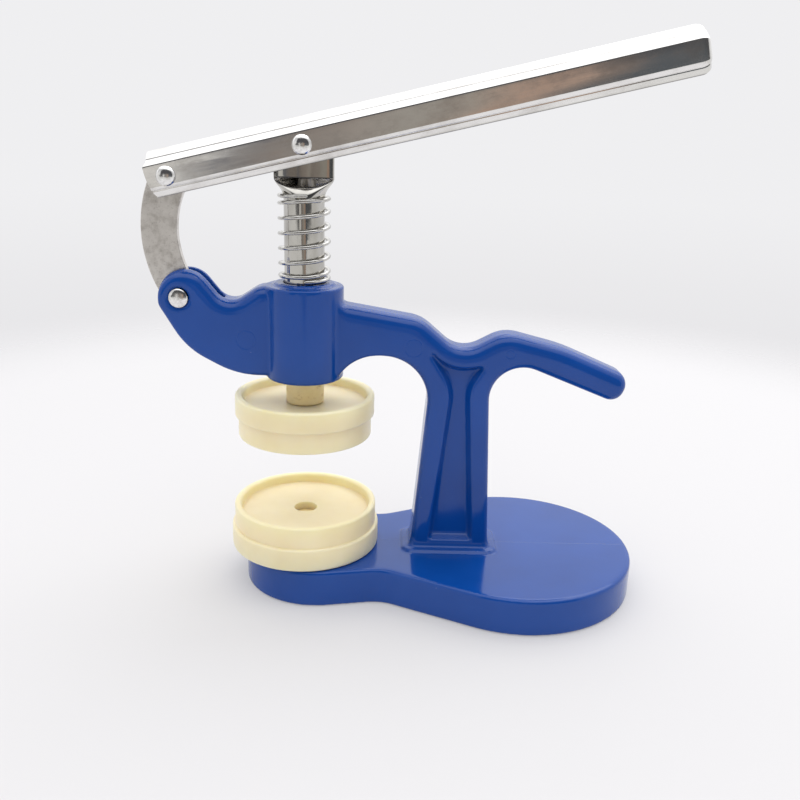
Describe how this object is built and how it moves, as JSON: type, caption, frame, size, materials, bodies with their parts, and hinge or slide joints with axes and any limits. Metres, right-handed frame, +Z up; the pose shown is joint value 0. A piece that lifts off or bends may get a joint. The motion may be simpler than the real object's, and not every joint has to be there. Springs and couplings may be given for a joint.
{
  "type": "watch case press",
  "caption": "Bench press for closing watch cases: a cast frame guides a sprung plunger that a long channel lever drives down, with a cupped nylon die above and below.",
  "frame": {"origin": "on the base's underside, where the plunger's axis meets it", "axes": "+Z up along the plunger's axis, +X from the dies towards the column and the grip horn, +Y away from the side that shows the lever at the upper right"},
  "size_m": [0.1857, 0.0864, 0.1976],
  "materials": {
    "blue_paint": "gloss blue enamel on a die casting",
    "plated_steel": "bright nickel plating",
    "spring_steel": "bright plated spring wire",
    "polished_steel": "polished tube",
    "satin_steel": "satin blanked plate",
    "brass": "satin turned brass",
    "nylon": "turned cream nylon, slightly translucent"
  },
  "bodies": {
    "frame": {"press_frame": "blue_paint", "fork_pin": "plated_steel", "return_spring": "spring_steel", "lower_die_stud": "brass"},
    "lower_die": {"lower_die": "nylon"},
    "plunger": {"plunger_tube": "polished_steel", "die_adapter": "brass", "plunger_rivet": "plated_steel", "plunger_spacer_front": "satin_steel", "plunger_spacer_back": "satin_steel"},
    "upper_die": {"upper_die": "nylon"},
    "lever": {"lever_channel": "plated_steel", "rear_rivet": "plated_steel", "link_spacer_front": "satin_steel", "link_spacer_back": "satin_steel"},
    "link": {"link_plate": "satin_steel"}
  },
  "joints": [
    {"name": "plunger_slide", "type": "slide", "parent": "frame", "child": "plunger", "axis": [0, 0, -1], "range_m": [0, 0.02], "stiffness_N_per_m": 1600, "springref_m": -0.006, "deforming": ["return_spring"]},
    {"name": "lever_hinge", "type": "hinge", "parent": "plunger", "child": "lever", "pos_m": [0, 0, 0.15775], "axis": [0, 1, 0], "range_deg": [0, 25.5]},
    {"name": "link_hinge", "type": "hinge", "parent": "frame", "child": "link", "pos_m": [-0.0424, 0, 0.1065], "axis": [0, -1, 0], "range_deg": [0, 1.8]},
    {"name": "upper_die_turn", "type": "hinge", "parent": "plunger", "child": "upper_die", "pos_m": [0, 0, 0.064], "axis": [0, 0, 1], "range_deg": [0, 360]},
    {"name": "lower_die_turn", "type": "hinge", "parent": "frame", "child": "lower_die", "pos_m": [0, 0, 0.02], "axis": [0, 0, 1], "range_deg": [0, 360]}
  ],
  "couplings": [
    {"joint": "lever_hinge", "follows": "plunger_slide", "rad_per_m": 21.97},
    {"joint": "link_hinge", "follows": "plunger_slide", "rad_per_m": 1.4835}
  ]
}
